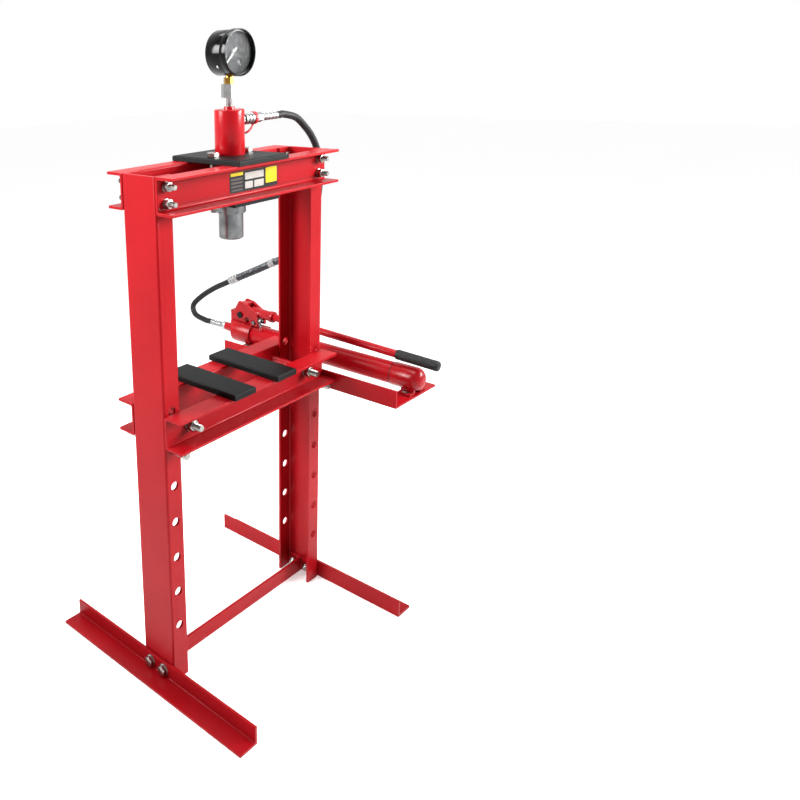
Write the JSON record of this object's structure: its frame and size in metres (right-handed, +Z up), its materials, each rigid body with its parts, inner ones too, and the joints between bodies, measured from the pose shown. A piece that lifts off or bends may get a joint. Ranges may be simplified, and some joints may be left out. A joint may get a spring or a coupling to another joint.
{
  "type": "hydraulic shop press",
  "caption": "Floor-standing H-frame hydraulic press with a pin-held bed, a downward ram and gauge on top, and a hand pump on a side tray joined by a hose.",
  "frame": {"origin": "middle of the footprint, at the feet's underside, without the hose", "axes": "+X from the plain column to the pump's column, +Y from the grip to the pump head, +Z up"},
  "size_m": [0.796, 0.8636, 1.461],
  "materials": {
    "red_paint": "gloss red paint",
    "black_plate": "black satin coating",
    "zinc_fastener": "bright zinc",
    "ground_steel": "ground steel",
    "chrome_fitting": "bright plate",
    "brass": "turned brass",
    "gauge_black": "black gloss",
    "dial_grey": "matt dark grey",
    "needle_white": "white paint",
    "lens_glass": "clear",
    "red_rubber": "moulded red rubber",
    "hose_rubber": "dark hose cover",
    "grip_rubber": "dark grey grip",
    "seal_rubber": "black seal"
  },
  "bodies": {
    "press": {"column_left": "red_paint", "column_right": "red_paint", "beam_front": "red_paint", "beam_rear": "red_paint", "bed_front": "red_paint", "bed_rear": "red_paint", "foot_left": "red_paint", "foot_right": "red_paint", "lower_brace": "red_paint", "barrel": "red_paint", "pump_tray": "red_paint", "pump_head": "red_paint", "pump_tank": "red_paint", "pump_cap": "red_paint", "press_plate_left": "black_plate", "press_plate_right": "black_plate", "top_plate": "black_plate", "clamp_plate": "black_plate", "beam_bolts": "zinc_fastener", "beam_washers": "zinc_fastener", "beam_nuts": "zinc_fastener", "bed_pins": "zinc_fastener", "tie_rods": "zinc_fastener", "tie_washers": "zinc_fastener", "tie_nuts": "zinc_fastener", "foot_bolts": "zinc_fastener", "foot_nuts": "zinc_fastener", "clamp_bolts": "zinc_fastener", "clamp_nuts": "zinc_fastener", "tray_bolts": "zinc_fastener", "tray_nuts": "zinc_fastener", "pump_bolts": "zinc_fastener", "pivot_pin": "zinc_fastener", "lock_ring": "ground_steel", "return_spring": "ground_steel", "plunger_gland": "ground_steel", "gauge_coupling": "chrome_fitting", "coupler_nipple": "chrome_fitting", "coupler_sleeve": "chrome_fitting", "hose_nut_top": "chrome_fitting", "hose_end_top": "chrome_fitting", "guard_ferrules": "chrome_fitting", "hose_end_pump": "chrome_fitting", "hose_nut_pump": "chrome_fitting", "gauge_stem": "brass", "gauge_case": "gauge_black", "gauge_bezel": "gauge_black", "gauge_dial": "dial_grey", "gauge_lens": "lens_glass", "dust_cap": "red_rubber", "hose": "hose_rubber", "spring_guard": "hose_rubber"},
    "ram": {"ram": "ground_steel", "ram_seal": "seal_rubber"},
    "plunger": {"pump_plunger": "ground_steel"},
    "lever": {"pump_lever": "red_paint", "handle_tube": "red_paint", "handle_grip": "grip_rubber"},
    "valve": {"release_valve": "chrome_fitting"},
    "needle": {"gauge_needle": "needle_white"}
  },
  "joints": [
    {"name": "ram_slide", "type": "slide", "parent": "press", "child": "ram", "axis": [0, 0, -1], "range_m": [0, 0.13], "stiffness_N_per_m": 1500, "springref_m": -0.05, "deforming": ["return_spring"]},
    {"name": "pump_handle", "type": "hinge", "parent": "press", "child": "lever", "pos_m": [0.318, 0.266, 0.66334], "axis": [-1, 0, 0], "range_deg": [0, 40]},
    {"name": "plunger_slide", "type": "slide", "parent": "press", "child": "plunger", "axis": [0, 0, 1], "range_m": [0, 0.0367]},
    {"name": "valve_turn", "type": "hinge", "parent": "press", "child": "valve", "pos_m": [0.318, 0.278, 0.605], "axis": [1, 0, 0], "range_deg": [0, 180]},
    {"name": "needle_turn", "type": "hinge", "parent": "press", "child": "needle", "pos_m": [-0.067, -0.049, 1.411], "axis": [0, 1, 0], "range_deg": [0, 270], "stiffness_Nm_per_rad": 0.001, "springref_deg": -17.19}
  ],
  "couplings": [
    {"joint": "plunger_slide", "follows": "pump_handle", "m_per_rad": 0.052424}
  ]
}
